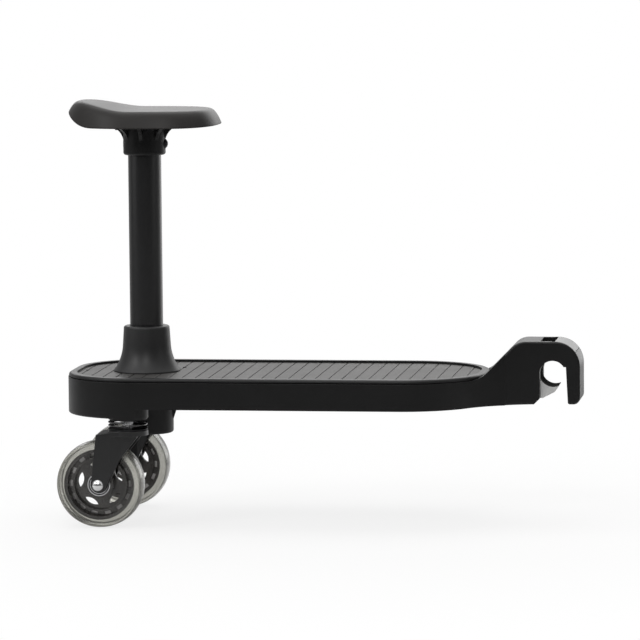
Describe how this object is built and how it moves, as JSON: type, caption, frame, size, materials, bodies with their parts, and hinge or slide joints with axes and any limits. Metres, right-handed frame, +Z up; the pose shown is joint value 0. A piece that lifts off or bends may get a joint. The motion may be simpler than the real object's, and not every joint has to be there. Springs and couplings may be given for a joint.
{
  "type": "buggy board",
  "caption": "Ride-on board that hooks onto a pushchair's rear bar: long standing deck on sprung swivel casters, a latching tow hook and a lift-out saddle on an upright post.",
  "frame": {"origin": "middle of the bar seat in the tow hook, where the pushchair's bar lies", "axes": "+X forward, from the saddle out through the hook; +Y to the rider's left, along the bar; +Z up"},
  "size_m": [0.4988, 0.1878, 0.4071],
  "materials": {
    "frame_plastic": "satin, very dark grey",
    "cover_plastic": "satin, dark grey",
    "mat_rubber": "matt mid grey with cross grooves",
    "stud_plastic": "matt black",
    "hook_plastic": "satin black",
    "pawl_plastic": "satin light grey",
    "lever_plastic": "satin light grey",
    "socket_plastic": "satin black",
    "post_paint": "satin black powder coat",
    "bracket_plastic": "satin black",
    "pad_skin": "soft moulded skin, matt dark grey",
    "base_plastic": "matt black",
    "black_steel": "blackened",
    "plain_steel": "zinc plated",
    "spring_steel": "glossy black",
    "bush_plastic": "plain bearing plastic",
    "fork_plastic": "satin black",
    "axle_chrome": "polished",
    "hub_plastic": "smoked, see-through",
    "tyre_clear": "smoke-clear polyurethane"
  },
  "bodies": {
    "board": {"deck_frame": "frame_plastic", "deck_screws": "plain_steel", "deck_cover": "cover_plastic", "standing_mat": "mat_rubber", "mat_studs": "stud_plastic", "tow_hook": "hook_plastic", "hook_bolts": "plain_steel", "pawl_pin": "plain_steel", "pawl_spring": "plain_steel", "lever_pin": "plain_steel", "post_socket": "socket_plastic", "socket_screws": "plain_steel", "post_collar": "socket_plastic", "right_bush": "bush_plastic", "right_spring": "spring_steel", "left_bush": "bush_plastic", "left_spring": "spring_steel"},
    "saddle": {"seat_post": "post_paint", "post_end_plug": "base_plastic", "seat_bracket": "bracket_plastic", "seat_bolt": "black_steel", "seat_nut": "black_steel", "seat_base": "base_plastic", "seat_screws": "plain_steel", "seat_pad": "pad_skin"},
    "pawl": {"latch_pawl": "pawl_plastic"},
    "release": {"release_lever": "lever_plastic"},
    "right_strut": {"right_stem": "plain_steel", "right_stem_clip": "plain_steel", "right_spring_seat": "black_steel"},
    "right_fork": {"right_fork": "fork_plastic", "right_thrust_washer": "bush_plastic", "right_axle_bolt": "axle_chrome", "right_axle_nut": "plain_steel"},
    "right_wheel": {"right_hub": "hub_plastic", "right_tyre": "tyre_clear", "right_bearings": "plain_steel", "right_spacer": "plain_steel"},
    "left_strut": {"left_stem": "plain_steel", "left_stem_clip": "plain_steel", "left_spring_seat": "black_steel"},
    "left_fork": {"left_fork": "fork_plastic", "left_thrust_washer": "bush_plastic", "left_axle_bolt": "axle_chrome", "left_axle_nut": "plain_steel"},
    "left_wheel": {"left_hub": "hub_plastic", "left_tyre": "tyre_clear", "left_bearings": "plain_steel", "left_spacer": "plain_steel"}
  },
  "joints": [
    {"name": "saddle_lift", "type": "slide", "parent": "board", "child": "saddle", "axis": [0, 0, 1], "range_m": [0, 0.105]},
    {"name": "pawl_pivot", "type": "hinge", "parent": "board", "child": "pawl", "pos_m": [0, 0, 0.0184], "axis": [0, 1, 0], "range_deg": [0, 32], "stiffness_Nm_per_rad": 0.3, "springref_deg": -20.05},
    {"name": "release_press", "type": "hinge", "parent": "board", "child": "release", "pos_m": [0.01655, 0, 0.01668], "axis": [0, -1, 0], "range_deg": [0, 10]},
    {"name": "right_suspension", "type": "slide", "parent": "board", "child": "right_strut", "axis": [0, 0, 1], "range_m": [0, 0.0015], "stiffness_N_per_m": 20000, "springref_m": -0.002, "deforming": ["right_spring"]},
    {"name": "right_swivel", "type": "hinge", "parent": "right_strut", "child": "right_fork", "pos_m": [-0.4035, -0.072, -0.051], "axis": [0, 0, 1], "continuous": true},
    {"name": "right_roll", "type": "hinge", "parent": "right_fork", "child": "right_wheel", "pos_m": [-0.4305, -0.072, -0.1031], "axis": [0, 1, 0], "continuous": true},
    {"name": "left_suspension", "type": "slide", "parent": "board", "child": "left_strut", "axis": [0, 0, 1], "range_m": [0, 0.0015], "stiffness_N_per_m": 20000, "springref_m": -0.002, "deforming": ["left_spring"]},
    {"name": "left_swivel", "type": "hinge", "parent": "left_strut", "child": "left_fork", "pos_m": [-0.4035, 0.072, -0.051], "axis": [0, 0, 1], "continuous": true},
    {"name": "left_roll", "type": "hinge", "parent": "left_fork", "child": "left_wheel", "pos_m": [-0.4305, 0.072, -0.1031], "axis": [0, 1, 0], "continuous": true}
  ],
  "couplings": [
    {"joint": "release_press", "follows": "pawl_pivot", "ratio": 0.3125}
  ]
}
